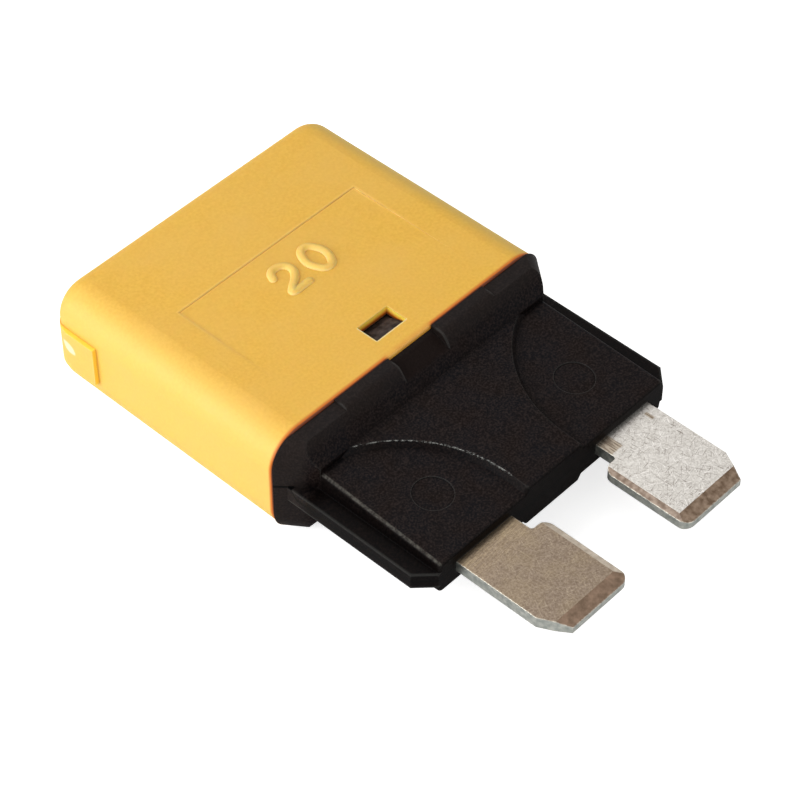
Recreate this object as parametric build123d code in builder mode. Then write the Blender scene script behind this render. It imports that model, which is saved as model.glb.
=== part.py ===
"""Blade circuit breaker, automatic reset, standard blade size (millimetres).

A yellow moulded cover snaps over a black base that is moulded around two stamped terminals.
Inside, a dished bimetal strip riveted to one terminal carries a silver contact that rests
on the contact of the other terminal.

Frame: X across the two blades, Y along them (the blades point to -Y), Z through the
thickness. The origin is under the middle of the breaker as it lies on its broad face.
"""

import os
from math import atan, degrees, radians, tan

from build123d import *

# --- driving dimensions -----------------------------------------------------------------

# cover: a shell that is closed at +Y
COVER_WIDTH = 20.5
COVER_THICK = 6.8
COVER_LENGTH = 16.65
COVER_WALL = 0.6
COVER_END_WALL = 1.0
COVER_SIDE_ROUND = 2.0
COVER_END_ROUND = 1.15
COVER_RIM_ROUND = 0.15
COVER_DRAFT = 0.25  # degrees a side

# rectangle that the lettering insert of the mould leaves on both broad faces
INSERT_WIDTH = 13.3
INSERT_LENGTH = 7.55
INSERT_FROM_MOUTH = 2.8
INSERT_DEPTH = 0.05  # at its end; it starts level with the outer face

# grip pads for a fuse puller, on the two narrow sides near the closed end
PAD_HEIGHT = 2.6
PAD_PROUD = 0.22
PAD_START = 13.15

# windows in both broad faces, and the catches of the base that snap into them
WINDOW_WIDTH = 2.25
WINDOW_LENGTH = 1.42
WINDOW_FROM_MOUTH = 1.26

# blades
BLADE_THICK = 0.7
BLADE_WIDTH = 5.2
BLADE_SPAN = 14.9  # over the outer edges of both blades
BLADE_REACH = 17.0  # from the mouth of the cover to the tips
SHANK_WIDTH = 4.15
SHOULDER_FROM_TIP = 5.55
SHOULDER_INNER_ROUND = 0.2
TIP_CHAMFER_ACROSS = 0.85
TIP_CHAMFER_ALONG = 1.65
TIP_ROUND = 0.6
TIP_BEVEL_LENGTH = 0.8
TIP_BEVEL_DEPTH = 0.14
EDGE_BEVEL_WIDTH = 0.35
EDGE_BEVEL_DEPTH = 0.09

# base, in front of the cover
COLLAR_GAP = 0.02  # the collar stands this much inside the cover's outline
COLLAR_ROUND = 1.7
COLLAR_TOP = 0.85
RAMP_FOOT = 1.85
COLLAR_EDGE_ROUND = 0.6
COLLAR_FOOT_INSET = 0.2  # a side, by which the collar ends inside the neck
COLLAR_FOOT_ROUND = 1.2
COLLAR_PAD_STEP = 0.13
COLLAR_PAD_REACH = 5.65  # from the middle to the outer end of a raised pad
NOTCH_WIDTH = 3.3
NOTCH_LIP = 0.22  # depth of the notch at the cover
NOTCH_FOOT = 0.9  # depth of the notch where it runs out of the ramp
NOTCH_REACH = 1.55
NECK_END = 10.1
NECK_WIDTH = 17.6  # at the middle plane
NECK_DRAFT = 9.0  # degrees
NECK_THICK_AT_COVER = 3.9
NECK_THICK_AT_END = 2.85
NECK_EDGE_ROUND = 0.25
NECK_END_ROUND = 0.2
SUNK_DEPTH = 0.35
SUNK_RADIUS = 7.42  # at the foot of its wall
SUNK_WALL_SLOPE = 35.0  # degrees
SUNK_CENTRE_X = 9.7
SUNK_CENTRE_FROM_END = 1.3
FLANGE_WIDTH = 19.5
FLANGE_THICK = 1.0
FLANGE_CHAMFER = 1.0
EJECTOR_DIAMETER = 2.2
EJECTOR_DEPTH = 0.05
EJECTOR_X = 5.5
EJECTOR_FROM_END = 3.4

# base, inside the cover
FIT = 0.05  # clearance of the base in the cover
PLUG_LENGTH = 3.4
TRAY_CLEARANCE = 0.8  # from the end of the tray to the closed end of the cover
TRAY_WEB = 0.9
TRAY_RAIL = 0.8
BARRIER_WIDTH = 1.0
BARRIER_TOP = 0.95  # above the middle plane
CATCH_CLEARANCE = 0.1
CATCH_DRAUGHT = 0.3  # how far the catch stays under the cover's outer face
CATCH_LAND = 0.3  # flat top of the catch, before its slope

# terminals, inside the base and the cover
ANCHOR_DIAMETER = 1.6
ANCHOR_FROM_MOUTH = 5.0
ARM_WIDTH = 6.7
ARM_INNER_EDGE = 1.3  # from the middle plane between the terminals
ARM_START = 4.6
ARM_TO_TRAY_END = 1.3
ARM_ROUND = 0.8
JOGGLE_START = 4.2
JOGGLE_RUN = 1.1
JOGGLE_BEND = 0.7  # radius to the middle of the sheet

# switching parts
CONTACT_X = 5.0
CONTACT_TO_ARM_END = 3.7
CONTACT_DIAMETER = 2.8
CONTACT_HEAD = 0.5
CONTACT_SHANK = 1.2
CONTACT_EDGE = 0.12
CONTACT_UPSET = 2.0
CONTACT_UPSET_HEIGHT = 0.2
BIMETAL_WIDTH = 5.4
BIMETAL_LENGTH = 15.2
BIMETAL_THICK = 0.25
BIMETAL_ROUND = 1.2
DISH_DIAMETER = 4.4
DISH_HEIGHT = 0.35
RIVET_SHANK = 1.4
RIVET_HEAD = 2.6
RIVET_HEAD_HEIGHT = 0.5
RIVET_UPSET = 2.2
RIVET_UPSET_HEIGHT = 0.35
UPSET_CLEARANCE = 0.5  # round the upset of the fixed contact, in the tray

# --- sizes that follow ------------------------------------------------------------------

MOUTH_Y = (BLADE_REACH - COVER_LENGTH) / 2
MIDDLE_Z = COVER_THICK / 2
CAVITY_WIDTH = COVER_WIDTH - 2 * COVER_WALL
CAVITY_THICK = COVER_THICK - 2 * COVER_WALL
CAVITY_ROUND = COVER_SIDE_ROUND - COVER_WALL
CAVITY_LENGTH = COVER_LENGTH - COVER_END_WALL
COVER_LEAN = tan(radians(COVER_DRAFT))  # of each side, for each millimetre from the mouth
INSERT_END = INSERT_FROM_MOUTH + INSERT_LENGTH
INSERT_START_Z = COVER_THICK / 2 - COVER_LEAN * INSERT_FROM_MOUTH
INSERT_END_Z = COVER_THICK / 2 - COVER_LEAN * INSERT_END - INSERT_DEPTH
COLLAR_WIDTH = COVER_WIDTH - 2 * COLLAR_GAP
COLLAR_THICK = COVER_THICK - 2 * COLLAR_GAP
COLLAR_FOOT_WIDTH = NECK_WIDTH - 2 * COLLAR_FOOT_INSET
PLUG_SHRINK = CAVITY_LENGTH * COVER_LEAN
PLUG_WIDTH = CAVITY_WIDTH - 2 * (FIT + PLUG_SHRINK)
PLUG_THICK = CAVITY_THICK - 2 * (FIT + PLUG_SHRINK)
PLUG_ROUND = CAVITY_ROUND - FIT - PLUG_SHRINK
BLADE_OUTER = BLADE_SPAN / 2
BLADE_INNER = BLADE_OUTER - BLADE_WIDTH
SHOULDER_Y = SHOULDER_FROM_TIP - BLADE_REACH
JOGGLE_HEIGHT = 2 * CONTACT_HEAD  # lifts the bimetal by the height of the two contacts
BIMETAL_BOTTOM = BLADE_THICK / 2 + JOGGLE_HEIGHT
NECK_TAPER = (NECK_THICK_AT_COVER - NECK_THICK_AT_END) / NECK_END
NECK_THICK_AT_RAMP = NECK_THICK_AT_COVER - RAMP_FOOT * NECK_TAPER
NECK_SLOPE = degrees(atan(NECK_TAPER / 2))
TRAY_LENGTH = CAVITY_LENGTH - TRAY_CLEARANCE  # from the mouth
ARM_END = TRAY_LENGTH - ARM_TO_TRAY_END
CONTACT_FROM_MOUTH = ARM_END - CONTACT_TO_ARM_END
TRAY_TOP = -BLADE_THICK / 2
TRAY_BOTTOM = TRAY_TOP - TRAY_WEB
CATCH_FRONT = WINDOW_FROM_MOUTH + CATCH_CLEARANCE
CATCH_BACK = WINDOW_FROM_MOUTH + WINDOW_LENGTH - CATCH_CLEARANCE
CATCH_TOP = COVER_THICK / 2 - CATCH_DRAUGHT

# views of the same frame: each passes through the middle of the cover's mouth
MOUTH = Vector(0, MOUTH_Y, MIDDLE_Z)
plan = Plane(MOUTH, x_dir=(1, 0, 0), z_dir=(0, 0, 1))  # local x, y are X, Y
side = Plane(MOUTH, x_dir=(0, 1, 0), z_dir=(1, 0, 0))  # local x, y are Y, Z
mouth = Plane(MOUTH, x_dir=(1, 0, 0), z_dir=(0, -1, 0))  # local x, y are X, Z


def write(node, name):
    """Label a finished piece and write it as a node of its own."""
    node.part.label = name
    export_step(node.part, f"parts/{name}.step")


# --- cover ------------------------------------------------------------------------------

with BuildPart() as cover:
    with BuildSketch(mouth):
        RectangleRounded(COVER_WIDTH, COVER_THICK, COVER_SIDE_ROUND)
    extrude(amount=-COVER_LENGTH, taper=COVER_DRAFT)
    fillet(cover.faces().sort_by(Axis.Y)[-1].edges(), COVER_END_ROUND)
    fillet(cover.faces().sort_by(Axis.Y)[0].edges(), COVER_RIM_ROUND)

    # the pads follow the sides round into the two end corners
    with BuildSketch(plan) as pad_outline:
        with Locations((0, (PAD_START + COVER_LENGTH) / 2)):
            Rectangle(COVER_WIDTH + 2 * PAD_PROUD, COVER_LENGTH - PAD_START)
        fillet(pad_outline.vertices().group_by(Axis.Y)[-1], COVER_END_ROUND + 2 * PAD_PROUD)
    extrude(amount=PAD_HEIGHT / 2, both=True)

    with BuildSketch(mouth):
        RectangleRounded(CAVITY_WIDTH, CAVITY_THICK, CAVITY_ROUND)
    extrude(amount=-CAVITY_LENGTH, taper=COVER_DRAFT, mode=Mode.SUBTRACT)

    with BuildSketch(plan):
        with Locations((0, WINDOW_FROM_MOUTH + WINDOW_LENGTH / 2)):
            Rectangle(WINDOW_WIDTH, WINDOW_LENGTH)
    extrude(amount=COVER_THICK, both=True, mode=Mode.SUBTRACT)

    # field of the lettering insert, on both broad faces, sinking towards the closed end
    with BuildSketch(side):
        for face_side in (1, -1):
            with BuildLine():
                Polyline(
                    (INSERT_FROM_MOUTH, face_side * INSERT_START_Z),
                    (INSERT_FROM_MOUTH, face_side * COVER_THICK),
                    (INSERT_END, face_side * COVER_THICK),
                    (INSERT_END, face_side * INSERT_END_Z),
                    close=True,
                )
            make_face()
    extrude(amount=INSERT_WIDTH / 2, both=True, mode=Mode.SUBTRACT)

# --- terminals --------------------------------------------------------------------------

# flat pattern of the terminal on the +X side: blade, shank with its anchor hole, and arm
with BuildSketch(plan) as terminal_pattern:
    with BuildLine():
        Polyline(
            (BLADE_INNER, -BLADE_REACH),
            (BLADE_OUTER - TIP_CHAMFER_ACROSS, -BLADE_REACH),
            (BLADE_OUTER, TIP_CHAMFER_ALONG - BLADE_REACH),
            (BLADE_OUTER, SHOULDER_Y),
            (BLADE_INNER, SHOULDER_Y),
            close=True,
        )
    make_face()
    fillet(terminal_pattern.vertices().group_by(Axis.X)[0], TIP_ROUND)
    with Locations((BLADE_OUTER - SHANK_WIDTH / 2, (SHOULDER_Y + ARM_START) / 2)):
        Rectangle(SHANK_WIDTH, ARM_START - SHOULDER_Y)
    shoulder = (BLADE_OUTER - SHANK_WIDTH, SHOULDER_Y)
    fillet(terminal_pattern.vertices().sort_by_distance(shoulder)[0], SHOULDER_INNER_ROUND)
    with Locations((ARM_INNER_EDGE + ARM_WIDTH / 2, (ARM_START + ARM_END) / 2)):
        Rectangle(ARM_WIDTH, ARM_END - ARM_START)
    fillet(terminal_pattern.vertices().group_by(Axis.Y)[-1], ARM_ROUND)
    with Locations((BLADE_OUTER - SHANK_WIDTH / 2, -ANCHOR_FROM_MOUTH)):
        Circle(ANCHOR_DIAMETER / 2, mode=Mode.SUBTRACT)


def coin_blade():
    """Bevel both faces of the present blade towards its tip and towards its inner edge."""
    half = BLADE_THICK / 2
    for face in (1, -1):
        with BuildSketch(side) as tip_wedge:
            with BuildLine():
                Polyline(
                    (TIP_BEVEL_LENGTH - BLADE_REACH, face * half),
                    (-BLADE_REACH, face * half),
                    (-BLADE_REACH, face * (half - TIP_BEVEL_DEPTH)),
                    close=True,
                )
            make_face()
        extrude(tip_wedge.sketch, amount=BLADE_SPAN, both=True, mode=Mode.SUBTRACT)
        with BuildSketch(mouth.offset(-SHOULDER_Y)) as edge_wedges:
            for hand in (1, -1):
                with BuildLine():
                    Polyline(
                        (hand * (BLADE_INNER + EDGE_BEVEL_WIDTH), face * half),
                        (hand * BLADE_INNER, face * half),
                        (hand * BLADE_INNER, face * (half - EDGE_BEVEL_DEPTH)),
                        close=True,
                    )
                make_face()
        extrude(edge_wedges.sketch, amount=BLADE_REACH + SHOULDER_Y, mode=Mode.SUBTRACT)


def cut_hole(centre, diameter):
    """Round hole through the present piece, square to the blades."""
    with BuildSketch(plan) as hole:
        with Locations(centre):
            Circle(diameter / 2)
    extrude(hole.sketch, amount=COVER_THICK, both=True, mode=Mode.SUBTRACT)


CONTACT_CENTRE = (-CONTACT_X, CONTACT_FROM_MOUTH)
RIVET_CENTRE = (CONTACT_X, CONTACT_FROM_MOUTH)

with BuildPart() as fixed_terminal:
    with BuildSketch(plan):
        add(terminal_pattern.sketch_local)
        mirror(about=Plane.YZ, mode=Mode.REPLACE)
    extrude(amount=BLADE_THICK / 2, both=True)
    cut_hole(CONTACT_CENTRE, CONTACT_SHANK)
    coin_blade()

with BuildPart() as bimetal_terminal:
    with BuildSketch(side):
        with BuildLine():
            FilletPolyline(
                (-BLADE_REACH, 0),
                (JOGGLE_START, 0),
                (JOGGLE_START + JOGGLE_RUN, JOGGLE_HEIGHT),
                (ARM_END, JOGGLE_HEIGHT),
                radius=JOGGLE_BEND,
            )
        trace(line_width=BLADE_THICK)
    extrude(amount=BLADE_SPAN, both=True)
    extrude(terminal_pattern.sketch, amount=COVER_THICK, both=True, mode=Mode.INTERSECT)
    cut_hole(RIVET_CENTRE, RIVET_SHANK)
    coin_blade()

# --- switching parts --------------------------------------------------------------------

with BuildPart() as bimetal_strip:
    with BuildSketch(plan.offset(BIMETAL_BOTTOM)):
        with Locations((0, CONTACT_FROM_MOUTH)):
            RectangleRounded(BIMETAL_LENGTH, BIMETAL_WIDTH, BIMETAL_ROUND)
            Circle(DISH_DIAMETER / 2, mode=Mode.SUBTRACT)
    extrude(amount=BIMETAL_THICK)
    # the dish is an arc of the strip's thickness, turned about the middle of the hole
    dish_centre = MOUTH + (0, CONTACT_FROM_MOUTH, BIMETAL_BOTTOM)
    with BuildSketch(Plane(dish_centre, x_dir=(1, 0, 0), z_dir=(0, -1, 0))):
        with BuildLine():
            lower = TangentArc((0, DISH_HEIGHT), (DISH_DIAMETER / 2, 0), tangent=(1, 0))
            add(lower.moved(Location((0, BIMETAL_THICK))))
            Line((0, DISH_HEIGHT), (0, DISH_HEIGHT + BIMETAL_THICK))
            Line((DISH_DIAMETER / 2, 0), (DISH_DIAMETER / 2, BIMETAL_THICK))
        make_face()
    revolve(axis=Axis(dish_centre, (0, 0, 1)))
    cut_hole(CONTACT_CENTRE, CONTACT_SHANK)
    cut_hole(RIVET_CENTRE, RIVET_SHANK)


def round_stack(centre, *steps):
    """Coaxial discs, each given by its diameter and its two heights over the middle plane."""
    for diameter, low, high in steps:
        with BuildSketch(plan.offset(low)) as disc:
            with Locations(centre):
                Circle(diameter / 2)
        extrude(disc.sketch, amount=high - low)


TERMINAL_TOP = BLADE_THICK / 2
CONTACTS_MEET = TERMINAL_TOP + CONTACT_HEAD
BIMETAL_TOP = BIMETAL_BOTTOM + BIMETAL_THICK
ARM_BOTTOM = BIMETAL_BOTTOM - BLADE_THICK

with BuildPart() as fixed_contact:
    round_stack(
        CONTACT_CENTRE,
        (CONTACT_UPSET, -TERMINAL_TOP - CONTACT_UPSET_HEIGHT, -TERMINAL_TOP),
        (CONTACT_SHANK, -TERMINAL_TOP, TERMINAL_TOP),
        (CONTACT_DIAMETER, TERMINAL_TOP, CONTACTS_MEET),
    )
    fillet(fixed_contact.faces().sort_by(Axis.Z)[-1].edges(), CONTACT_EDGE)

with BuildPart() as moving_contact:
    round_stack(
        CONTACT_CENTRE,
        (CONTACT_DIAMETER, CONTACTS_MEET, BIMETAL_BOTTOM),
        (CONTACT_SHANK, BIMETAL_BOTTOM, BIMETAL_TOP),
        (CONTACT_UPSET, BIMETAL_TOP, BIMETAL_TOP + CONTACT_UPSET_HEIGHT),
    )
    fillet(moving_contact.faces().sort_by(Axis.Z)[0].edges(), CONTACT_EDGE)

with BuildPart() as bimetal_rivet:
    round_stack(
        RIVET_CENTRE,
        (RIVET_UPSET, ARM_BOTTOM - RIVET_UPSET_HEIGHT, ARM_BOTTOM),
        (RIVET_SHANK, ARM_BOTTOM, BIMETAL_TOP),
        (RIVET_HEAD, BIMETAL_TOP, BIMETAL_TOP + RIVET_HEAD_HEIGHT),
    )
    fillet(bimetal_rivet.faces().sort_by(Axis.Z)[-1].edges(), RIVET_HEAD_HEIGHT / 2)

# --- base -------------------------------------------------------------------------------

# collar: fills the outline of the cover, then ramps down and slants in to the neck
with BuildPart() as collar:
    with BuildSketch(mouth):
        RectangleRounded(COLLAR_WIDTH, COLLAR_THICK, COLLAR_ROUND)
    with BuildSketch(mouth.offset(RAMP_FOOT)):
        RectangleRounded(COLLAR_FOOT_WIDTH, COLLAR_THICK, COLLAR_FOOT_ROUND)
    loft()
    with BuildSketch(side) as ramp:
        with BuildLine():
            Polyline(
                (0, -COLLAR_THICK / 2),
                (0, COLLAR_THICK / 2),
                (-COLLAR_TOP, COLLAR_THICK / 2),
                (-RAMP_FOOT, NECK_THICK_AT_RAMP / 2),
                (-RAMP_FOOT, -NECK_THICK_AT_RAMP / 2),
                (-COLLAR_TOP, -COLLAR_THICK / 2),
                close=True,
            )
        make_face()
        fillet(ramp.vertices().group_by(Axis.X)[1], COLLAR_EDGE_ROUND)
    extrude(amount=COLLAR_WIDTH, both=True, mode=Mode.INTERSECT)
    # beside the raised pads the collar is a step lower
    with BuildSketch(mouth):
        with GridLocations(2 * COLLAR_WIDTH, COLLAR_THICK, 2, 2):
            Rectangle(2 * (COLLAR_WIDTH - COLLAR_PAD_REACH), 2 * COLLAR_PAD_STEP)
    extrude(amount=RAMP_FOOT, mode=Mode.SUBTRACT)
    # notches in front of the catches, with a floor that falls away from the cover
    with BuildSketch(side):
        for face_side in (1, -1):
            with BuildLine():
                Polyline(
                    (0, face_side * COVER_THICK / 2),
                    (0, face_side * (COLLAR_THICK / 2 - NOTCH_LIP)),
                    (-NOTCH_REACH, face_side * (COLLAR_THICK / 2 - NOTCH_FOOT)),
                    (-NOTCH_REACH, face_side * COVER_THICK / 2),
                    close=True,
                )
            make_face()
    extrude(amount=NOTCH_WIDTH / 2, both=True, mode=Mode.SUBTRACT)


def neck_wedge(width, sunk):
    """Profile of the neck, seen from the side; sunk is how far its two faces lie deeper."""
    with BuildSketch(side) as profile:
        with BuildLine():
            Polyline(
                (0, NECK_THICK_AT_COVER / 2 - sunk),
                (-NECK_END, NECK_THICK_AT_END / 2 - sunk),
                (-NECK_END, sunk - NECK_THICK_AT_END / 2),
                (0, sunk - NECK_THICK_AT_COVER / 2),
                close=True,
            )
        make_face()
    extrude(profile.sketch, amount=width, both=True, mode=Mode.INTERSECT)


def sunk_plane(face_side):
    """Plane of a sunk face: it starts in the end of the neck and rises towards the cover."""
    height = face_side * (NECK_THICK_AT_END / 2 - SUNK_DEPTH)
    return Plane(MOUTH + (0, -NECK_END, height)).rotated((face_side * NECK_SLOPE, 0, 0))


# the neck's lower level: its sides lean in from the middle plane, its outer edges are rounded
with BuildPart() as neck:
    lean = NECK_THICK_AT_COVER / 2 * tan(radians(NECK_DRAFT))
    with BuildSketch(mouth):
        with BuildLine():
            Polyline(
                (NECK_WIDTH / 2, 0),
                (NECK_WIDTH / 2 - lean, NECK_THICK_AT_COVER / 2),
                (lean - NECK_WIDTH / 2, NECK_THICK_AT_COVER / 2),
                (-NECK_WIDTH / 2, 0),
                (lean - NECK_WIDTH / 2, -NECK_THICK_AT_COVER / 2),
                (NECK_WIDTH / 2 - lean, -NECK_THICK_AT_COVER / 2),
                close=True,
            )
        make_face()
    extrude(amount=NECK_END)
    neck_wedge(NECK_WIDTH, SUNK_DEPTH)
    for broad_face in (neck.faces().sort_by(Axis.Z)[0], neck.faces().sort_by(Axis.Z)[-1]):
        across = broad_face.edges().sort_by(Axis.X)
        fillet([across[0], across[-1]], NECK_EDGE_ROUND)

# waisted plateau on both faces of the neck, between the round fields beside the blades
with BuildPart() as plateaus:
    for face_side in (1, -1):
        with BuildSketch(sunk_plane(face_side)) as waist:
            Rectangle(NECK_WIDTH, 3 * NECK_END)
            for hand in (1, -1):
                with Locations((hand * SUNK_CENTRE_X, SUNK_CENTRE_FROM_END)):
                    Circle(SUNK_RADIUS, mode=Mode.SUBTRACT)
                with Locations((hand * SUNK_CENTRE_X, SUNK_CENTRE_FROM_END - NECK_END)):
                    Rectangle(2 * SUNK_RADIUS, 2 * NECK_END, mode=Mode.SUBTRACT)
        extrude(amount=face_side * 2 * SUNK_DEPTH, taper=SUNK_WALL_SLOPE)
    neck_wedge(NECK_WIDTH, 0)

with BuildPart() as base:
    add(neck.part)
    add(plateaus.part)
    fillet(base.faces().sort_by(Axis.Y)[0].edges(), NECK_END_ROUND)
    for face_side in (1, -1):
        with BuildSketch(sunk_plane(face_side)):
            with Locations((EJECTOR_X, EJECTOR_FROM_END), (-EJECTOR_X, EJECTOR_FROM_END)):
                Circle(EJECTOR_DIAMETER / 2)
        extrude(amount=-face_side * EJECTOR_DEPTH, mode=Mode.SUBTRACT)
    add(collar.part)

    # flange in the middle plane, with its two front corners cut off
    with BuildSketch(plan) as flange:
        with Locations((0, -NECK_END / 2)):
            Rectangle(FLANGE_WIDTH, NECK_END)
        chamfer(flange.vertices().group_by(Axis.Y)[0], FLANGE_CHAMFER)
    extrude(amount=FLANGE_THICK / 2, both=True)

    # plug that fills the mouth of the cover
    with BuildSketch(mouth) as plug_section:
        RectangleRounded(PLUG_WIDTH, PLUG_THICK, PLUG_ROUND)
    extrude(amount=-PLUG_LENGTH)

    # tray behind the plug: a web under the terminal arms between two rails
    with BuildSketch(mouth):
        add(plug_section.sketch_local)
        with Locations((0, TRAY_BOTTOM - PLUG_THICK / 2), (0, TRAY_TOP + PLUG_THICK / 2)):
            Rectangle(PLUG_WIDTH - 2 * TRAY_RAIL, PLUG_THICK, mode=Mode.SUBTRACT)
    extrude(amount=-TRAY_LENGTH)
    # barrier between the two terminals
    with BuildSketch(plan.offset(TRAY_BOTTOM)):
        with Locations((0, TRAY_LENGTH / 2)):
            Rectangle(BARRIER_WIDTH, TRAY_LENGTH)
    extrude(amount=BARRIER_TOP - TRAY_BOTTOM)
    # room under the upset of the fixed contact
    with BuildSketch(plan.offset(TRAY_TOP)):
        with Locations(CONTACT_CENTRE):
            Circle(CONTACT_UPSET / 2 + UPSET_CLEARANCE)
    extrude(amount=-TRAY_WEB, mode=Mode.SUBTRACT)

    # catches: steep towards the mouth of the cover, sloped where its rim rides over them
    with BuildSketch(side):
        for face_side in (1, -1):
            with BuildLine():
                Polyline(
                    (CATCH_FRONT, 0),
                    (CATCH_FRONT, face_side * CATCH_TOP),
                    (CATCH_FRONT + CATCH_LAND, face_side * CATCH_TOP),
                    (CATCH_BACK, face_side * PLUG_THICK / 2),
                    (CATCH_BACK, 0),
                    close=True,
                )
            make_face()
    extrude(amount=WINDOW_WIDTH / 2 - CATCH_CLEARANCE, both=True)

    # the base is moulded round the two terminals
    add(fixed_terminal.part, mode=Mode.SUBTRACT)
    add(bimetal_terminal.part, mode=Mode.SUBTRACT)

os.makedirs("parts", exist_ok=True)
write(cover, "cover")
write(base, "base")
write(fixed_terminal, "fixed_terminal")
write(bimetal_terminal, "bimetal_terminal")
write(bimetal_strip, "bimetal_strip")
write(fixed_contact, "fixed_contact")
write(moving_contact, "moving_contact")
write(bimetal_rivet, "bimetal_rivet")
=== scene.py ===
# %% [markdown]
# # A blade circuit breaker, dressed for its picture
#
# The breaker is a yellow moulded cover over a black base with two flat blades.
# All of its solids come finished from the CAD model, so this lesson is about finishes:
# what each plastic and metal looks like, how large its texture really is, and how a few
# shader nodes show it. It adds two small pieces, the raised digits of the rating.

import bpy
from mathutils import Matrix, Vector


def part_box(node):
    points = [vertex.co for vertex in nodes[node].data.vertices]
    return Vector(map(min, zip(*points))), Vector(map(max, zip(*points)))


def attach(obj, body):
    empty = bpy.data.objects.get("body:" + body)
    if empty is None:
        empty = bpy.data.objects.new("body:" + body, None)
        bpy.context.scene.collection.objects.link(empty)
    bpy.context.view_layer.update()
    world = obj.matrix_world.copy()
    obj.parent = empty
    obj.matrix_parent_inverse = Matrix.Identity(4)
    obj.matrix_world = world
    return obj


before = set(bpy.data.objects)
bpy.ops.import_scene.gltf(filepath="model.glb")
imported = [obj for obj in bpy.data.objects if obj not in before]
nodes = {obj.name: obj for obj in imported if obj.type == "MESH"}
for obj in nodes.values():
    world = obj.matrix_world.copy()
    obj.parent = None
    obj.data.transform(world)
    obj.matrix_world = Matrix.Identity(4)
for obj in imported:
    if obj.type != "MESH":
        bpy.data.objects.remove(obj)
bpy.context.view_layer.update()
MM = 0.001  # the scene counts in metres

# %% Tools of the lesson
import math

import bmesh
import bpy
from mathutils import Matrix, Vector

scene = bpy.context.scene
print("pieces:", sorted(nodes))

# %% [markdown]
# The sizes below are those of the real part, in its own frame: X runs across the two
# blades, Y along them, and Z through the thickness. The breaker lies on its broad face.
# Wherever a solid can answer, the size is read from it and not written again.

# %% Places on the part
cover_low, cover_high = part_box("cover")
LEFT, RIGHT = cover_low.x / MM, cover_high.x / MM  # mm, sides of the cover
MOUTH = cover_low.y / MM  # mm, where the cover opens towards the blades
TOP = cover_high.z / MM  # mm, upper face of the cover
MIDDLE = (cover_low.z + cover_high.z) / 2 / MM  # mm, halfway through the thickness
print("mouth of the cover at y", round(MOUTH, 3), "mm, its upper face at z", round(TOP, 3))

# %% [markdown]
# Colours are written as the hex values that one would pick on a screen. Blender's shaders
# work in linear light, so one function turns the first into the second.


# %% Colour
def linear(hex_colour):
    """Linear RGBA of an sRGB colour such as "#E6B450"."""
    channels = [int(hex_colour[i : i + 2], 16) / 255 for i in (1, 3, 5)]
    bent = [c / 12.92 if c <= 0.04045 else ((c + 0.055) / 1.055) ** 2.4 for c in channels]
    return (*bent, 1.0)


print("linear of mid grey:", [round(c, 3) for c in linear("#808080")])

# %% [markdown]
# A material is a small graph, and a graph is easier to read when every node is added in
# one statement: its kind, what goes into its sockets, and its own settings. A node is
# linked by its first live output, and an output by itself. A hex value becomes a linear
# colour, and anything else is typed into the socket.


# %% One function that adds a node
def add(tree, kind, inputs=None, **settings):
    """Add a shader node, set it up, fill or link its sockets, and return it."""
    made = tree.nodes.new("ShaderNode" + kind)
    for name, value in settings.items():
        setattr(made, name, value)
    for socket, value in (inputs or {}).items():
        if isinstance(value, str):
            value = linear(value)
        if isinstance(value, bpy.types.Node):
            value = next(output for output in value.outputs if output.enabled)
        if isinstance(value, bpy.types.NodeSocket):
            tree.links.new(value, made.inputs[socket])
        else:
            made.inputs[socket].default_value = value
    return made


def empty_tree(owner):
    """The cleared shader tree of a new material or world."""
    owner.use_nodes = True
    owner.node_tree.nodes.clear()
    return owner.node_tree


def new_material(name):
    """A material, its empty tree, and the place on the part counted in millimetres."""
    material = bpy.data.materials.new(name)
    tree = empty_tree(material)
    place = add(tree, "TexCoord").outputs["Object"]
    in_mm = add(tree, "Mapping", {"Vector": place, "Scale": (1 / MM, 1 / MM, 1 / MM)})
    return material, tree, in_mm


def dress(material, *names):
    """Give solids of the CAD model their finish."""
    for name in names:
        slots = nodes[name].data.materials
        slots.clear()
        slots.append(material)
    print(material.name, "on", names)


# %% [markdown]
# Much of a finish is a question of where: a coat of paler colour on what sticks out, a
# darker one below a certain height. Such masks could be painted by hand, but then they
# would have to be painted again whenever a size changes. Here they are written as limits
# on a place or a direction, and a coat of colour goes on where all of its masks are 1.

# %% Masks and coats
# the colour version of the Mix node keeps its sockets after those of its other versions
MIX_A, MIX_B = 6, 7


def where(tree, *limits):
    """The product of ramps; each is a value, its start, its end and, at will, its low and high."""
    share = 1.0
    for value, start, end, *reach in limits:
        low, high = reach or (0.0, 1.0)
        ends = {"From Min": start, "From Max": end, "To Min": low, "To Max": high}
        ramp = add(tree, "MapRange", {"Value": value, **ends})
        share = add(tree, "Math", {0: share, 1: ramp}, operation="MULTIPLY")
    return share


def coat(tree, under, over, *masks, strength=1.0, blend_type="MIX"):
    """Colour over laid on colour under, as strong as strength and all of the masks allow."""
    share = strength
    for mask in masks:
        share = add(tree, "Math", {0: share, 1: mask}, operation="MULTIPLY")
    layers = {"Factor": share, MIX_A: under, MIX_B: over}
    return add(tree, "Mix", layers, data_type="RGBA", blend_type=blend_type)


def patches(tree, place, size, start=0.35, end=0.65, low=0.0, high=1.0, detail=2.0):
    """Patches of noise size millimetres apart: low where it is start or less, high past end."""
    spots = add(tree, "TexNoise", {"Vector": place, "Scale": 1 / size, "Detail": detail})
    return where(tree, (spots, start, end, low, high))


def apart_from(tree, value, target):
    """How far value is from target, on either side."""
    gap = add(tree, "Math", {0: value, 1: target}, operation="SUBTRACT")
    return add(tree, "Math", {0: gap}, operation="ABSOLUTE")


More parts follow.
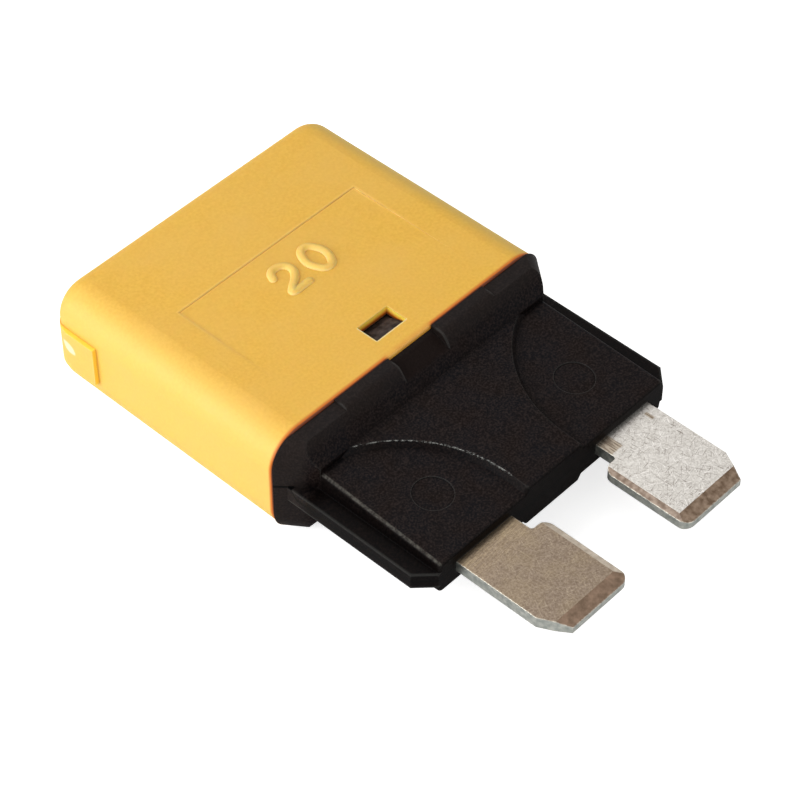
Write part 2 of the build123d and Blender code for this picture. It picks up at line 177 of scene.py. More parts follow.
def within(tree, place, centre, radius, soft):
    """1 inside a ball of radius round centre, fading over soft; all in millimetres."""
    apart = add(tree, "VectorMath", {0: place, 1: centre}, operation="DISTANCE")
    return where(tree, (apart, radius, radius - soft))


def in_box(tree, place, low, high, soft):
    """1 inside an upright box, with borders that fade over soft; its low and high corner
    have two or three sizes, and everything is in millimetres."""
    split = add(tree, "SeparateXYZ", {"Vector": place}).outputs
    limits = []
    for axis, start, end in zip("XYZ", low, high):
        limits += [(split[axis], start, start + soft), (split[axis], end, end - soft)]
    return where(tree, *limits)


def squarely(tree):
    """How squarely the surface faces along X, Y and Z: 1 when square to it, 0 when in line."""
    normal = add(tree, "TexCoord").outputs["Normal"]
    split = add(tree, "SeparateXYZ", {"Vector": normal}).outputs
    return {axis: add(tree, "Math", {0: split[axis]}, operation="ABSOLUTE") for axis in "XYZ"}


# %% [markdown]
# Three finishes of this part change where the form turns: a painted highlight on what sticks out,
# painted shade where it dips, and no real corner is perfectly sharp. Occlusion finds the first
# two. Looking inwards, it is dark beside an outer corner, because the neighbouring face is close
# behind the skin; looking outwards, it is dark beside an inner corner. A Bevel node rounds the
# shading of a corner without new faces.

# %% Corners and relief
OCCLUSION_SAMPLES = 8
BEVEL_SAMPLES = 4


def outer_corners(tree, reach, start=0.92, end=0.6):
    """1 on the corners that stick out, fading over reach millimetres."""
    look = {"Distance": reach * MM}
    way = {"inside": True, "only_local": True, "samples": OCCLUSION_SAMPLES}
    inward = add(tree, "AmbientOcclusion", look, **way)
    return where(tree, (inward.outputs["AO"], start, end))


def inner_corners(tree, reach):
    """1 deep in the corners that dip, fading over reach millimetres."""
    look = {"Distance": reach * MM}
    outward = add(tree, "AmbientOcclusion", look, samples=OCCLUSION_SAMPLES)
    return where(tree, (outward.outputs["AO"], 0.95, 0.35))


def finish(tree, height, depth, rounding, looks):
    """Relief of depth millimetres over corners rounded by rounding metres, then the shader."""
    soft = add(tree, "Bevel", {"Radius": rounding}, samples=BEVEL_SAMPLES)
    relief = add(tree, "Bump", {"Height": height, "Distance": depth * MM, "Normal": soft})
    shader = add(tree, "BsdfPrincipled", {"Normal": relief, **looks})
    add(tree, "OutputMaterial", {"Surface": shader})


# %% [markdown]
# The cover is injection-moulded PBT, coloured all through. Its mould was spark-eroded, so the
# faces have an even, very fine grain that makes them matt. The eye reads an orange yellow with a
# faint mottle and a broad soft shine. The sides are painted paler, as painted sheen; the backs of
# the raised strokes get a painted highlight, and every dip painted orange shade.
# One noise at the size of the grain drives both the relief and a little of the colour. A
# second, much larger one stands for the uneven flow of the plastic.

# %% Cover: grain, sides and dips
EROSION_GRAIN = 0.17  # mm; the real grain is nearer 0.05, too fine to show
EROSION_DEPTH = 0.007  # mm
FLOW_PATCH = 4.0  # mm
STROKE_FOOT, STROKE_BACK = TOP + 0.02, TOP + 0.12  # mm, heights on a raised stroke
DIP_SHADE_REACH = 0.3  # mm

yellow, tree, in_mm = new_material("moulded_PBT_spark_eroded")
split = add(tree, "SeparateXYZ", {"Vector": in_mm}).outputs
square = squarely(tree)
grain = add(tree, "TexNoise", {"Vector": in_mm, "Scale": 1 / EROSION_GRAIN, "Detail": 3.0})
colour = coat(tree, "#DFAB34", "#E9B842", where(tree, (grain, 0.3, 0.7)))
colour = coat(tree, colour, "#E3B450", patches(tree, in_mm, FLOW_PATCH, 0.3, 0.7), strength=0.5)
# painted sheen: the faces turned along X are painted paler
side_sheen = where(tree, (square["X"], 0.1, 0.8))
colour = coat(tree, colour, "#DEC568", side_sheen, strength=0.55)
# painted highlight: the backs of the raised strokes are painted paler
stroke_highlight = where(tree, (split["Z"], STROKE_FOOT, STROKE_BACK))
colour = coat(tree, colour, "#FFDC80", stroke_highlight, strength=0.4)
# painted shade: every dip of the cover is painted orange
colour = coat(tree, colour, "#E08E1C", inner_corners(tree, DIP_SHADE_REACH), strength=0.6)
print(yellow.name, "has a grain of", EROSION_GRAIN, "mm")

# %% [markdown]
# Low steps are painted lighter, as painted light that comes through their thin edges and takes
# back the shade on their walls. There are two kinds here: the step round the sunk field for the
# rating, with a faint painted glow beside it that grows away from the mouth, and the step of each
# grip pad. A box or a distance from the middle says which step is meant, and the slope of the face
# says where the step itself is.

# %% Cover: painted light on steps
INSERT = (-6.8, MOUTH + 2.6), (6.8, MOUTH + 10.5), 0.05  # mm, the sunk field with its step
FLOOR = (-6.55, MOUTH + 2.0), (6.55, MOUTH + 10.25), 0.05  # mm, the same without the step
GLOW_FROM, GLOW_TO = MOUTH + 5, MOUTH + 9  # mm, where the glow beside the step grows
PAD_FROM, PAD_TO = RIGHT - 0.3, RIGHT - 0.2  # mm from the middle, where a grip pad begins

from_middle = apart_from(tree, split["X"], 0)
on_insert = in_box(tree, in_mm, *INSERT)
on_floor = in_box(tree, in_mm, *FLOOR)
step_glow = where(tree, (on_floor, 1, 0), (split["Y"], GLOW_FROM, GLOW_TO))
# painted glow beside the step of the sunk field
colour = coat(tree, colour, "#FFD070", on_insert, step_glow, strength=0.25)
# painted light on the walls of that step, against their shade
colour = coat(tree, colour, "#FFD884", on_insert, where(tree, (square["Z"], 0.9, 0.5)))
# painted light on the step of each grip pad
pad_step_light = where(tree, (from_middle, PAD_FROM, PAD_TO), (square["X"], 0.8, 0.5))
colour = coat(tree, colour, "#FFD040", pad_step_light)
print("sunk field ends at y", round(INSERT[1][1], 2), "mm, pads begin at", round(PAD_FROM, 2))

# %% [markdown]
# Over the notch of the base the rim lies free, and it is painted browner, in patches, as shade
# from the black behind it. The walls of the window are cut through the plastic, and their light
# and shade are painted: bright just below the skin, where light comes through, then orange, and
# nearly black where they meet the dark inside.

# %% Cover: free rim and window
FREE_RIM = (-1.9, MOUTH - 1), (1.9, MOUTH + 0.45), 0.3  # mm, over the notch
RIM_PATCH = 0.6  # mm
WINDOW_HALF = 1.125  # mm, half the width of the window
WINDOW_START, WINDOW_END = MOUTH + 1.26, MOUTH + 2.68  # mm
WALL_ROOM = 0.05  # mm round the window, so that its walls are inside the box
WALL_SOFT = 0.03  # mm
SKIN = TOP - 0.04, TOP - 0.1  # mm, heights between which the skin ends and the wall begins
ORANGE = TOP - 0.2, TOP - 0.45  # mm, heights between which the wall turns orange
DARK = TOP - 0.38, TOP - 0.6  # mm, heights between which it turns dark
window_low = (-WINDOW_HALF - WALL_ROOM, WINDOW_START - WALL_ROOM)
window_high = (WINDOW_HALF + WALL_ROOM, WINDOW_END + WALL_ROOM)

on_free_rim = in_box(tree, in_mm, *FREE_RIM)
patchy = patches(tree, in_mm, RIM_PATCH, 0.3, 0.6, low=0.4)
# painted shade on the free rim, in patches
colour = coat(tree, colour, "#DB9A32", on_free_rim, patchy)
# painted light and shade on the window's walls: bright under the skin, dark deeper down
wall_light_and_shade = coat(tree, "#FFDC55", "#D86C00", where(tree, (split["Z"], *ORANGE)))
wall_light_and_shade = coat(tree, wall_light_and_shade, "#4A1400", where(tree, (split["Z"], *DARK)))
in_window = in_box(tree, in_mm, window_low, window_high, WALL_SOFT)
below_skin = where(tree, (split["Z"], *SKIN))
colour = coat(tree, colour, wall_light_and_shade, in_window, below_skin)
print("window", 2 * WINDOW_HALF, "by", round(WINDOW_END - WINDOW_START, 2), "mm")

# %% [markdown]
# Two lips of the window and the free rim get a painted highlight, a pale line on their outer
# corners. All other outer corners get only a faint one. Each lip is a box, the boxes are joined by
# taking the largest of their masks, and occlusion picks the corners.

# %% Cover: painted highlights on lips
CORNER_REACH = 0.12  # mm
LIP_START = WINDOW_START - 0.2  # mm, a little before the lip towards the mouth
HIGHLIT_LIPS = [  # mm, the low and high corner of a box round each, and its soft border
    ((-1.3, LIP_START), (1.3, WINDOW_START + 0.05), 0.03),  # lip towards the mouth
    ((-1.3, LIP_START), (-1.08, WINDOW_END), 0.03),  # left lip
    ((-1.7, MOUTH - 1), (1.7, MOUTH + 0.2), 0.1),  # free rim
]

highlit = 0.0
for lip in HIGHLIT_LIPS:
    on_lip = in_box(tree, in_mm, *lip)
    highlit = add(tree, "Math", {0: highlit, 1: on_lip}, operation="MAXIMUM")
lip_highlight = where(tree, (highlit, 0, 1, 0.1, 0.9))
# painted highlight on the outer corners of the lips
colour = coat(tree, colour, "#FBE7B0", outer_corners(tree, CORNER_REACH), lip_highlight)
print(len(HIGHLIT_LIPS), "scraped lips")

# %% [markdown]
# Beside the notch and round the corners the rim lies on the black base. There its rounded edge is
# in shade, painted as an orange line and, at its very edge, a thin brown one, and no light spreads
# inside it.
# A pale spot on the left grip pad has the shape of a lens, which is what two overlapping discs
# have in common.

# %% Cover: painted rim shade, pale spot and shine
NOTCH_SIDE = 1.5, 1.8  # mm from the middle, where the rim begins to lie on the base
RIM_SHADE_LINES = [(0.3, 0.16, "#CC6A00"), (0.12, 0.05, "#6A2C00")]  # mm from the mouth: from, full at
PALE_SPOT_SIZE = 0.72, 0.15  # mm, radius of its two discs and how softly they end
PALE_SPOT_CENTRES = [(LEFT, 15.24 + side * 0.17, 3.69 - side * 0.30) for side in (1, -1)]  # mm
STEPS = (-7.2, MOUTH + 3.1), (7.2, MOUTH + 10.8), 0.1  # mm, where the low steps are very soft
ROUNDINGS = 0.05 * MM, 0.4 * MM  # of corners outside and inside that box
LIGHT_ENTERS = MOUTH + 0.3, MOUTH + 0.6  # mm, between which light begins to spread inside
GLOW_SHARE = 0.4  # of the light that falls on the plastic
GLOW_REACH = 0.4  # mm that red light travels in it
GLOW_COLOUR = (1.0, 0.5, 0.12)  # green and blue travel less far than red

beside_notch = (from_middle, *NOTCH_SIDE)
# painted shade on the rim's rounded edge where it lies on the base
for start, end, shade in RIM_SHADE_LINES:
    line = where(tree, beside_notch, (split["Y"], MOUTH + start, MOUTH + end))
    colour = coat(tree, colour, shade, line)
# a pale lens-shaped spot on the left grip pad
lens = [within(tree, in_mm, centre, *PALE_SPOT_SIZE) for centre in PALE_SPOT_CENTRES]
colour = coat(tree, colour, "#FBF0D2", *lens, strength=0.7)

by_step = in_box(tree, in_mm, *STEPS)
looks = {"Base Color": colour, "Roughness": 0.55, "Specular IOR Level": 0.5}
looks["Subsurface Weight"] = where(tree, (split["Y"], *LIGHT_ENTERS, 0, GLOW_SHARE))
looks["Subsurface Radius"] = GLOW_COLOUR
looks["Subsurface Scale"] = GLOW_REACH * MM
rounding = where(tree, (by_step, 0, 1, *ROUNDINGS))
finish(tree, grain, EROSION_DEPTH, rounding, looks)
dress(yellow, "cover")

# %% [markdown]
# The base is a black mineral-filled moulding. Its colour is not a pure black: warm and cool
# patches lie side by side, with lighter specks of filler. The steep faces of the neck and the top
# of its end flange are painted darker still, as shade, and so are the deep corners and the notch
# under the rim, while the collar is painted a little paler, against part of that shade. A coat
# that multiplies darkens a face and keeps its specks, and a plain coat covers them.

# %% Base: ground, neck and collar
FILLER_SPECK = 0.11  # mm
FILLER_DEPTH = 0.012  # mm
TINT_PATCH = 1.6  # mm
CORNER_SHADE_REACH = 0.9  # mm
NECK_START = MOUTH - 1.7, MOUTH - 2.0  # mm, where the collar has gone over into the neck
ABOVE_FLANGE = 4.2, 4.0  # mm, heights between the neck's upper face and the flange's top
BELOW_FLANGE = 1.5, 2.0  # mm, heights below which lies the underside of the neck
COLLAR_START = MOUTH - 1.4, MOUTH - 1.1  # mm
NOTCH = (-1.7, MOUTH - 1.5), (1.7, MOUTH), 0.3  # mm

black, tree, in_mm = new_material("moulded_black_mineral_filled")
split = add(tree, "SeparateXYZ", {"Vector": in_mm}).outputs
square = squarely(tree)
speck = add(tree, "TexNoise", {"Vector": in_mm, "Scale": 1 / FILLER_SPECK, "Detail": 4.0})
ground = coat(tree, "#110A08", "#0C0B0E", patches(tree, in_mm, TINT_PATCH))
colour = coat(tree, ground, "#2E2624", where(tree, (speck, 0.42, 0.75)))
# painted shade: the steep faces of the neck are darker
on_neck = where(tree, (split["Y"], *NECK_START))
steep = where(tree, (square["Z"], 0.9, 0.3))
colour = coat(tree, colour, "#8A8280", steep, on_neck, blend_type="MULTIPLY")
# painted shade on the top of the end flange
flange = where(tree, (split["Z"], *ABOVE_FLANGE), (split["Z"], *BELOW_FLANGE))
level = where(tree, (square["Z"], 0.8, 0.95))
colour = coat(tree, colour, "#968C88", flange, on_neck, level, blend_type="MULTIPLY")
# painted shade in the deep corners
corner_shade = inner_corners(tree, CORNER_SHADE_REACH)
colour = coat(tree, colour, "#5A5050", corner_shade, blend_type="MULTIPLY")
# the collar is painted paler, against part of the painted shade on it
on_collar = where(tree, (split["Y"], *COLLAR_START))
colour = coat(tree, colour, "#272220", on_collar, strength=0.5)
# painted shade in the notch under the rim
colour = coat(tree, colour, "#120906", in_box(tree, in_mm, *NOTCH), strength=0.7)
print(black.name, "has specks of", FILLER_SPECK, "mm")

# %% [markdown]
# Where an edge sticks out, a painted highlight breaks into a line of small bright dots. The line
# is brightest on the upper edge of the wall round the left field, and faint elsewhere. The long
# shoulder of the neck beside it gets a grey painted highlight. The wall is part of a circle, so a
# distance from its centre finds it.

# %% Base: painted highlights on edges
EDGE_REACH = 0.2  # mm
EDGE_BEAD = 0.16  # mm from one bright dot to the next
RING_CENTRE = (-9.7, MOUTH - 8.8, 0)  # mm, centre of the round wall of the left field
RING_RADIUS = 7.67  # mm, to the upper edge of that wall
RING_OFF = 0.3, 0.2  # mm off that radius, where the painted highlight ends and where it is full
RING_PART = (-8.4, MOUTH - 9, 4.3), (-1.5, MOUTH - 1.9, 6), 0.1  # mm, where the circle is a wall
SHOULDER = (-9.0, MOUTH - 10.2, 4.3), (-8.1, MOUTH - 1.8, 6), 0.1  # mm
SHOULDER_PATCH = 0.2  # mm
OPEN_START = MOUTH - 0.2, MOUTH - 0.4  # mm, where the base comes out from under the rim
OPEN_HIGHLIGHT = 0.04  # share of painted highlight on all other edges

flat = add(tree, "VectorMath", {0: in_mm, 1: (1, 1, 0)}, operation="MULTIPLY")
from_centre = add(tree, "VectorMath", {0: flat, 1: RING_CENTRE}, operation="DISTANCE")
off_ring = apart_from(tree, from_centre, RING_RADIUS)
beads = patches(tree, in_mm, EDGE_BEAD, 0.42, 0.62, detail=1.0)
on_wall = in_box(tree, in_mm, *RING_PART)
on_ring = where(tree, (off_ring, *RING_OFF), (beads, 0, 1), (on_wall, 0, 1))
elsewhere = where(tree, (split["Y"], *OPEN_START, 0, OPEN_HIGHLIGHT))
edge_highlight = add(tree, "Math", {0: on_ring, 1: elsewhere}, operation="MAXIMUM")
# painted highlight on the outer edges, in dots
colour = coat(tree, colour, "#C4C6C0", outer_corners(tree, EDGE_REACH, 0.86, 0.7), edge_highlight)

# grey painted highlight on the neck's long shoulder
on_shoulder = in_box(tree, in_mm, *SHOULDER)
turning = where(tree, (square["X"], 0.2, 0.4), (square["X"], 0.9, 0.7))
uneven = patches(tree, in_mm, SHOULDER_PATCH, low=0.05, high=0.26)
colour = coat(tree, colour, "#8A887E", on_shoulder, turning, uneven)
print("bright dots every", EDGE_BEAD, "mm on an arc of radius", RING_RADIUS, "mm")

# %% [markdown]
# The mould closes at the middle plane and leaves a thin dark line all round, which climbs a little
# beside the cover. The catch that shows in the window gets grey patches of painted light, where
# light comes in through the window.

# %% Base: parting line, catch and shine
SEAM_HALF = 0.05  # mm, half the width of the parting line
SEAM_STEP = 0.5  # mm that the parting line climbs beside the cover
SEAM_CLIMB = MOUTH - 1.2, MOUTH - 0.8  # mm, where it climbs
CATCH_LIGHT_DEPTH = 1.2  # mm below the cover's upper face
CATCH_LIGHT_SOFT = 0.15  # mm
CATCH_LIGHT_PATCH = 0.4  # mm
BASE_ROUND = 0.07 * MM  # of its corners

climb = where(tree, (split["Y"], *SEAM_CLIMB, 0, SEAM_STEP))
seam_z = add(tree, "Math", {0: climb, 1: MIDDLE}, operation="ADD")
off_seam = apart_from(tree, split["Z"], seam_z)
colour = coat(tree, colour, "#040404", where(tree, (off_seam, 2 * SEAM_HALF, SEAM_HALF)))

catch_low, catch_high = window_low + (TOP - CATCH_LIGHT_DEPTH,), window_high + (TOP,)
on_catch = in_box(tree, in_mm, catch_low, catch_high, CATCH_LIGHT_SOFT)
# painted light: grey patches on the catch under the window
catch_light = patches(tree, in_mm, CATCH_LIGHT_PATCH, low=0.2, high=0.9)
colour = coat(tree, colour, "#544A46", on_catch, catch_light)
looks = {"Base Color": colour, "Roughness": 0.45, "Specular IOR Level": 0.04}
finish(tree, speck, FILLER_DEPTH, BASE_ROUND, looks)
dress(black, "base")

# %% [markdown]
# The blades are brass with a thin coat of tin. Fresh tin is a bright, slightly warm
# silver that takes fine scratches in all directions as soon as a blade has been handled.
# Worn or heated tin goes brown and dull. The pressed bevels at the tip and along the inner
# edge have a tone of their own, and the sheared sides show pale metal.
# A scratch is a noise stretched far along one direction, and cut off so that only its
# thin peaks are left. A few of them, each turned by another angle, make handled metal.

# %% Tin on brass
SCRATCH_LONG = 0.7  # mm
SCRATCH_WIDE = 0.05  # mm; real ones are finer, this is as thin as shows
SCRATCH_TURNS = (8, 37, 61, 94, 122, 156)  # degrees
SCRATCH_SHIFT = (0.31, 0.17)  # mm per degree, so that no two directions share their noise
MOTTLE = 0.12  # mm
PIT_PITCH = 1.1  # mm
PIT_RADIUS = 0.07  # mm
PIT_FLOOR = 0.6 * PIT_RADIUS


def scratches(tree, place, turn, thin):
    """Fine lines along one direction; thin is how high the cut through the noise is."""
    shift = (turn * SCRATCH_SHIFT[0], turn * SCRATCH_SHIFT[1], 0)
    aim = {"Rotation": (0, 0, math.radians(turn)), "Scale": (SCRATCH_LONG, SCRATCH_WIDE, 1.0)}
    aim |= {"Vector": place, "Location": shift}
    turned = add(tree, "Mapping", aim, vector_type="TEXTURE")
    bend = {"Vector": turned, "Scale": 1.0, "Detail": 1.0, "Distortion": 0.3}
    return where(tree, (add(tree, "TexNoise", bend), thin, thin + 0.05))


def tin_plate(name, plain, mottled, lines, depth, thin):
    """Scratched and pitted tin: its material, tree, place in millimetres, mottle and colour.
    Lines are the colours of its scratches, and depth is how strongly they show."""
    material, tree, in_mm = new_material(name)
    mottle = add(tree, "TexNoise", {"Vector": in_mm, "Scale": 1 / MOTTLE, "Detail": 5.0})
    colour = coat(tree, plain, mottled, where(tree, (mottle, 0.34, 0.66)))
    for number, turn in enumerate(SCRATCH_TURNS):
        line = scratches(tree, in_mm, turn, thin)
        colour = coat(tree, colour, lines[number % len(lines)], line, strength=depth)
    pits = add(tree, "TexVoronoi", {"Vector": in_mm, "Scale": 1 / PIT_PITCH})
    pit = where(tree, (pits, PIT_RADIUS / PIT_PITCH, PIT_FLOOR / PIT_PITCH))
    colour = coat(tree, colour, "#6B625A", pit, strength=0.6)
    return material, tree, in_mm, mottle, colour


# %% [markdown]
# What a stamped blade has all over comes last: the tones of its pressed bevels and sheared sides,
# a painted highlight along its edges, and its relief. Each of these faces is found by the way it
# looks, because they are far too small to be placed one by one.

# %% Bevels, sides and edges of a blade
BEVEL_STREAK = 0.3  # mm
EDGE_GLINT_PATCH = 0.14  # mm
EDGE_GLINT_REACH = 0.08  # mm
TIN_DEPTH = 0.01  # mm
TIN_ROUND = 0.06 * MM  # of its edges
SHEARED = ("#9EA29C", "#C6C7BF")


def close_plate(tree, in_mm, mottle, colour, tip, inner):
    """Pressed tip and inner edge, sheared sides and painted edge highlight of a blade, and its
    relief.
    """
    square = squarely(tree)
    streaky = patches(tree, in_mm, BEVEL_STREAK, detail=5.0)
    faces = ((square["X"], 0.05, 0.12), inner), ((square["Y"], 0.05, 0.12), tip)
    for limit, tones in (*faces, ((square["Z"], 0.9, 0.8), SHEARED)):
        colour = coat(tree, colour, coat(tree, *tones, streaky), where(tree, limit))
    # painted highlight along the outer edges, in patches
    edge_glint = patches(tree, in_mm, EDGE_GLINT_PATCH, 0.4, 0.6, low=0.2, detail=1.0)
    colour = coat(tree, colour, "#D8D3C6", outer_corners(tree, EDGE_GLINT_REACH), edge_glint, strength=0.7)
    looks = {"Base Color": colour, "Metallic": 1.0, "Roughness": 0.38}
    finish(tree, mottle, TIN_DEPTH, TIN_ROUND, looks)


# %% [markdown]
# The right blade is bright, and its tin has been rubbed through in two small patches of
# its shank, down to brown metal. Its pressed bevels are brown too.

# %% Bright blade
RUBBED_THROUGH = [((3.0, -11.0), (4.25, -9.5), 0.08), ((6.62, -10.95), (6.92, -10.3), 0.08)]  # mm

tones, lines = ("#B4AFA8", "#CBC7C1"), ("#766E67", "#857D76", "#E2DED9")
plate = tin_plate("tin_plated_brass_handled", *tones, lines, depth=0.75, thin=0.65)
bright_tin, tree, in_mm, mottle, colour = plate
brown = coat(tree, "#786B5D", "#A69A8A", scratches(tree, in_mm, turn=90, thin=0.45))
for patch in RUBBED_THROUGH:
    colour = coat(tree, colour, brown, in_box(tree, in_mm, *patch))
close_plate(tree, in_mm, mottle, colour, tip=("#635142", "#8A7766"), inner=("#5A4D43", "#7C6F64"))
dress(bright_tin, "bimetal_terminal")

# %% [markdown]
# The left blade has gone dull and brown all over, with yellower patches. A strip along the
# base is yellower still and scratched lengthwise, where the plating resisted the moulding.
# Its tip is brown, and its inner bevel has kept its pale tin.

# %% Dull blade
YELLOWED_PATCH = 1.4  # mm
BASE_STRIP = -12.2, -10.2  # mm, where the yellower strip along the base begins and is full

tones, lines = ("#6F6052", "#897A6B"), ("#9E8F78", "#66574C", "#A89A86")
plate = tin_plate("tin_plated_brass_dulled", *tones, lines, depth=0.35, thin=0.64)
dull_tin, tree, in_mm, mottle, colour = plate
yellowed = patches(tree, in_mm, YELLOWED_PATCH, 0.45, 0.65)
colour = coat(tree, colour, "#8C7C60", yellowed, strength=0.2)
split = add(tree, "SeparateXYZ", {"Vector": in_mm}).outputs
strip = coat(tree, "#84725A", "#B09C7A", scratches(tree, in_mm, turn=4, thin=0.5))
on_strip = where(tree, (split["Y"], *BASE_STRIP))
colour = coat(tree, colour, strip, on_strip, strength=0.35)
close_plate(tree, in_mm, mottle, colour, tip=("#6A5849", "#856F5E"), inner=("#A99C8C", "#C4B8A8"))
dress(dull_tin, "fixed_terminal")

# %% [markdown]
# Four small pieces work inside the closed cover, and nobody sees them in a picture. They
# still get their own metals, so that the part looks right when it is taken apart. Rolled
# or drawn metal has faint streaks along its length, which is a noise stretched along X.

# %% Inner metals
STREAK_SCALE = (0.6, 12.0, 12.0)  # noise spots in a millimetre along X, Y and Z
ROLLING_DEPTH = 0.01  # mm


def rolled_metal(name, colour, paler, roughness):
    """Plain metal with the faint lengthwise streaks of rolling."""
    material, tree, in_mm = new_material(name)
    stretched = add(tree, "Mapping", {"Vector": in_mm, "Scale": STREAK_SCALE})
    streak = add(tree, "TexNoise", {"Vector": stretched, "Scale": 1.0, "Detail": 3.0})
    rolling = {"Strength": 0.2, "Distance": ROLLING_DEPTH * MM, "Height": streak}
    looks = {"Base Color": coat(tree, colour, paler, streak), "Normal": add(tree, "Bump", rolling)}
    shader = add(tree, "BsdfPrincipled", {"Metallic": 1.0, "Roughness": roughness, **looks})
    add(tree, "OutputMaterial", {"Surface": shader})
    return material


dress(rolled_metal("rolled_bimetal", "#8F8C86", "#ABA79F", 0.35), "bimetal_strip")
dress(rolled_metal("silver_alloy", "#D9D8D3", "#E8E7E3", 0.25), "fixed_contact", "moving_contact")
dress(rolled_metal("plain_brass", "#B9964F", "#CDAB66", 0.3), "bimetal_rivet")

# %% [markdown]
# The rating of such a breaker is moulded on its cover as raised strokes with a round
# back, about as thick as a pencil line. Each stroke was milled into the mould with a ball
# cutter, so the piece is a round line that follows the middle of the stroke and stands
# half out of the face. A curve with a round bevel gives just that, and is then made a mesh.
# A ray sent down on the cover says how high the face is under the number.

# %% Raised rating number: size and place
STROKE = 0.50  # mm across
STROKE_PROUD = 0.19  # mm above the face
DIGIT_HEIGHT = 2.5  # mm over the outside of the strokes
DIGIT_WIDTH = 1.75  # mm over the outside of the strokes
DIGIT_PITCH = 2.15  # mm
NUMBER_CENTRE = (0.2, 8.15)  # mm, in X and Y

half_w = (DIGIT_WIDTH - STROKE) / 2
half_h = (DIGIT_HEIGHT - STROKE) / 2
above = Vector((NUMBER_CENTRE[0] * MM, NUMBER_CENTRE[1] * MM, 2 * cover_high.z))
found, face_point, _, _ = nodes["cover"].ray_cast(above, Vector((0, 0, -1)))
print("face under the number at z", round(face_point.z / MM, 3), "mm, hit:", found)

# %% [markdown]
# Blender can cap a bevelled curve, but only with flat ends. A cutter with a round nose
# leaves round ones, so the curve is left open. Each end is filled with one face, and that
# face is inset and raised a few times along a quarter circle, which makes a dome.

# %% Raised rating number: strokes and ends
BEVEL_STEPS = 5
CURVE_STEPS = 14
MERGE_WITHIN = 0.000005  # mm; more would weld the rings that crowd inside the tight bend
DOME_ANGLES = (0, 30, 55, 75, 86)  # degrees up the quarter circle


def stroke(curve, points, closed=False):
    """A smooth line of the number through points, as shares of half a digit from its centre."""
    line = curve.splines.new("BEZIER")
    line.bezier_points.add(len(points) - 1)
    line.use_cyclic_u = closed
    for point, (share_x, share_y) in zip(line.bezier_points, points):
        point.co = (share_x * half_w, share_y * half_h, 0)
        point.handle_left_type = "AUTO"
        point.handle_right_type = "AUTO"


def round_ends(bm):
    """Close each open end with a dome, as insets that rise along a quarter circle."""
    radius = STROKE / 2
    rims = [edge for edge in bm.edges if edge.is_boundary]
    ends = bmesh.ops.holes_fill(bm, edges=rims, sides=0)["faces"]
    bmesh.ops.recalc_face_normals(bm, faces=bm.faces)
    steps = [math.radians(angle) for angle in DOME_ANGLES]
    for before, after in zip(steps, steps[1:]):
        inwards = radius * (math.cos(before) - math.cos(after))
        outwards = radius * (math.sin(after) - math.sin(before))
        bmesh.ops.inset_individual(bm, faces=ends, thickness=inwards, depth=outwards)
    return len(ends)


def digit(name, centre_x, points, closed=False):
    """A raised digit as a mesh of its own, with rounded ends."""
    curve = bpy.data.curves.new(name, "CURVE")
    curve.dimensions = "3D"
    curve.bevel_depth = STROKE / 2
    curve.bevel_resolution = BEVEL_STEPS
    curve.resolution_u = CURVE_STEPS
    stroke(curve, points, closed)
    line = bpy.data.objects.new(name + "_line", curve)
    mesh = bpy.data.meshes.new_from_object(line)
    bpy.data.objects.remove(line)

    bm = bmesh.new()
    bm.from_mesh(mesh)
    bmesh.ops.remove_doubles(bm, verts=bm.verts, dist=MERGE_WITHIN)
    bmesh.ops.recalc_face_normals(bm, faces=bm.faces)
    domes = round_ends(bm)
    flatten = Matrix.Diagonal((1, 1, 2 * STROKE_PROUD / STROKE, 1))
    place = Matrix.Translation((centre_x, NUMBER_CENTRE[1], face_point.z / MM))
    bm.transform(Matrix.Scale(MM, 4) @ place @ flatten)
    for face in bm.faces:
        face.smooth = True
    bm.to_mesh(mesh)
    bm.free()
    piece = bpy.data.objects.new(name, mesh)
    scene.collection.objects.link(piece)
    mesh.materials.append(yellow)
    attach(piece, "root")
    print(name, "has", len(mesh.polygons), "faces and", domes, "domed ends")


hook = [(-1, 0.5), (-0.62, 0.9), (0, 1), (0.72, 0.82), (1, 0.4), (0.72, -0.05)]
foot = [(-0.75, -0.78), (-0.95, -0.93), (-0.8, -1), (0, -1), (1, -1)]
ring = [(0, 1), (0.9, 0.45), (0.9, -0.45), (0, -1), (-0.9, -0.45), (-0.9, 0.45)]
digit("rating_two", NUMBER_CENTRE[0] - DIGIT_PITCH / 2, hook + foot)
digit("rating_zero", NUMBER_CENTRE[0] + DIGIT_PITCH / 2, ring, closed=True)

# %% [markdown]
# The breaker lies on a white table in soft light. A near lamp at the left gives the long
# side of the cover its paler yellow, a second one above lights the broad faces, a weak one
# fills the small walls that face the viewer, and the sky of the world is a plain
# grey-white. Together they light a level face at about 1, so a colour comes out about as
# it is written.


# %% Lamps
def soft_lamp(name, towards, distance, width, level):
    """A square lamp aimed at the part; level is what it alone gives a white face square to it."""
    direction = Vector(towards).normalized()
    data = bpy.data.lights.new(name, "AREA")
    data.size = width
    data.energy = level * math.pi * distance**2  # W, for level watts on a square metre
    data.energy *= math.pi  # because a white face sends 1 / pi of them towards the viewer
    lamp = bpy.data.objects.new(name, data)
    scene.collection.objects.link(lamp)
    lamp.location = direction * distance
    lamp.rotation_euler = direction.to_track_quat("Z", "Y").to_euler()
    print(name, "gives", round(data.energy, 3), "W")


soft_lamp("left_softbox", (-0.87, 0.28, 0.45), distance=0.18, width=0.15, level=0.97)
soft_lamp("top_softbox", (0.10, 0.50, 1.0), distance=0.5, width=0.30, level=0.30)
soft_lamp("front_fill", (-0.15, -1.0, 0.35), distance=0.5, width=0.40, level=0.35)

# %% [markdown]
# A white ground is made by what the camera sees, and not by more light. For the rays of
# the camera, mirrors and glass the world is exactly white; for all others it is the softer
# sky.

# %% World
SKY_LEVEL = 0.30
WHITE = 1.0

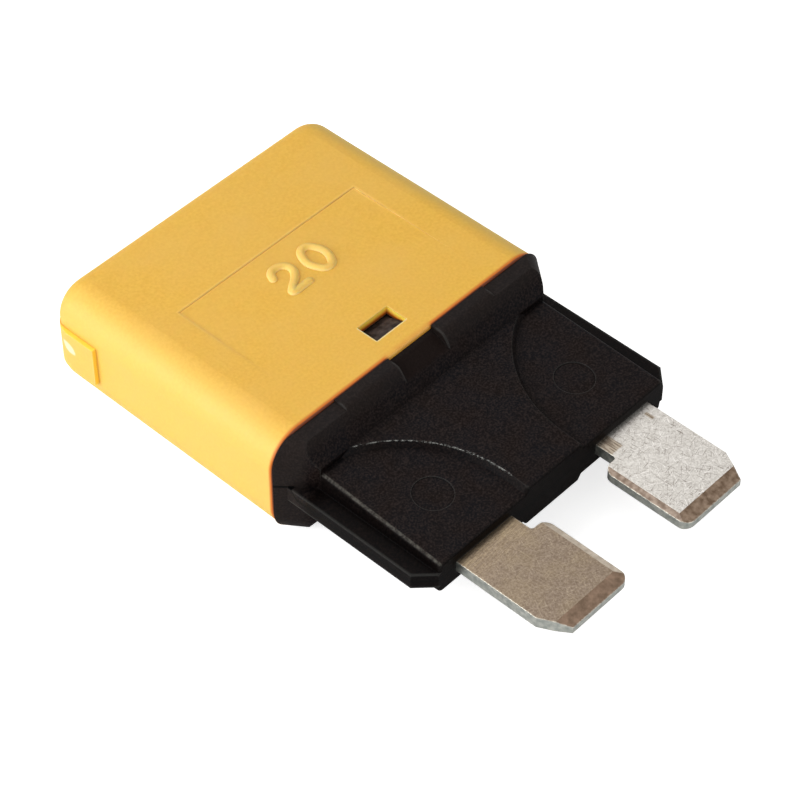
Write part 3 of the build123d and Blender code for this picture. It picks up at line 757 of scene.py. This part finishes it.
world = bpy.data.worlds.new("studio")
scene.world = world
tree = empty_tree(world)
ray = add(tree, "LightPath").outputs
seen = ray["Is Camera Ray"]
for other in ("Is Glossy Ray", "Is Transmission Ray"):
    seen = add(tree, "Math", {0: seen, 1: ray[other]}, operation="MAXIMUM")
strength = where(tree, (seen, 0, 1, SKY_LEVEL, WHITE))
sky = add(tree, "Background", {"Color": "#FFFFFF", "Strength": strength})
add(tree, "OutputWorld", {"Surface": sky})
print("sky at", SKY_LEVEL, "for all light that falls on the part")

# %% [markdown]
# The table does the same: it is a pale matt sheet, to which the camera's rays add a glow
# that takes it to white and leaves only the deepest part of the shadow under the breaker.

# %% Table
TABLE_SIZE = 3.0  # m
TABLE_GLOW = 0.7

sheet = bpy.data.materials.new("matt_white_table")
tree = empty_tree(sheet)
seen = add(tree, "LightPath").outputs["Is Camera Ray"]
glow_level = add(tree, "Math", {0: seen, 1: TABLE_GLOW}, operation="MULTIPLY")
glow = add(tree, "Emission", {"Strength": glow_level})
matt = add(tree, "BsdfDiffuse", {"Color": "#E8E8E8"})
both = add(tree, "AddShader", {0: matt, 1: glow})
add(tree, "OutputMaterial", {"Surface": both})

mesh = bpy.data.meshes.new("table")
bm = bmesh.new()
bmesh.ops.create_grid(bm, x_segments=1, y_segments=1, size=TABLE_SIZE / 2)
bm.to_mesh(mesh)
bm.free()
mesh.materials.append(sheet)
table = bpy.data.objects.new("table", mesh)
scene.collection.objects.link(table)
print("table", TABLE_SIZE, "m across")

# %% [markdown]
# The camera looks down on the blades' side from the left, with a long lens, as one does
# for small goods: the lines of the part stay almost parallel.

# %% Camera
CAMERA_AT = Vector((-75.238, -68.943, 111.163)) * MM
LOOK_AT = Vector((-1.04, -0.125, 3.4)) * MM
SENSOR = 36.0  # mm
LENS = 126.48  # mm
ROLL = 0.09  # degrees
NEAREST = 0.005  # m from the lens, nearer things aren't drawn

camera_data = bpy.data.cameras.new("camera")
camera_data.sensor_width = SENSOR
camera_data.lens = LENS
camera_data.clip_start = NEAREST
camera = bpy.data.objects.new("camera", camera_data)
scene.collection.objects.link(camera)
camera.location = CAMERA_AT
aim = (LOOK_AT - CAMERA_AT).to_track_quat("-Z", "Y").to_matrix()
camera.rotation_euler = (aim @ Matrix.Rotation(math.radians(ROLL), 3, "Z")).to_euler()
scene.camera = camera
scene.view_settings.view_transform = "Standard"
print("camera at", [round(c / MM, 1) for c in CAMERA_AT], "mm")
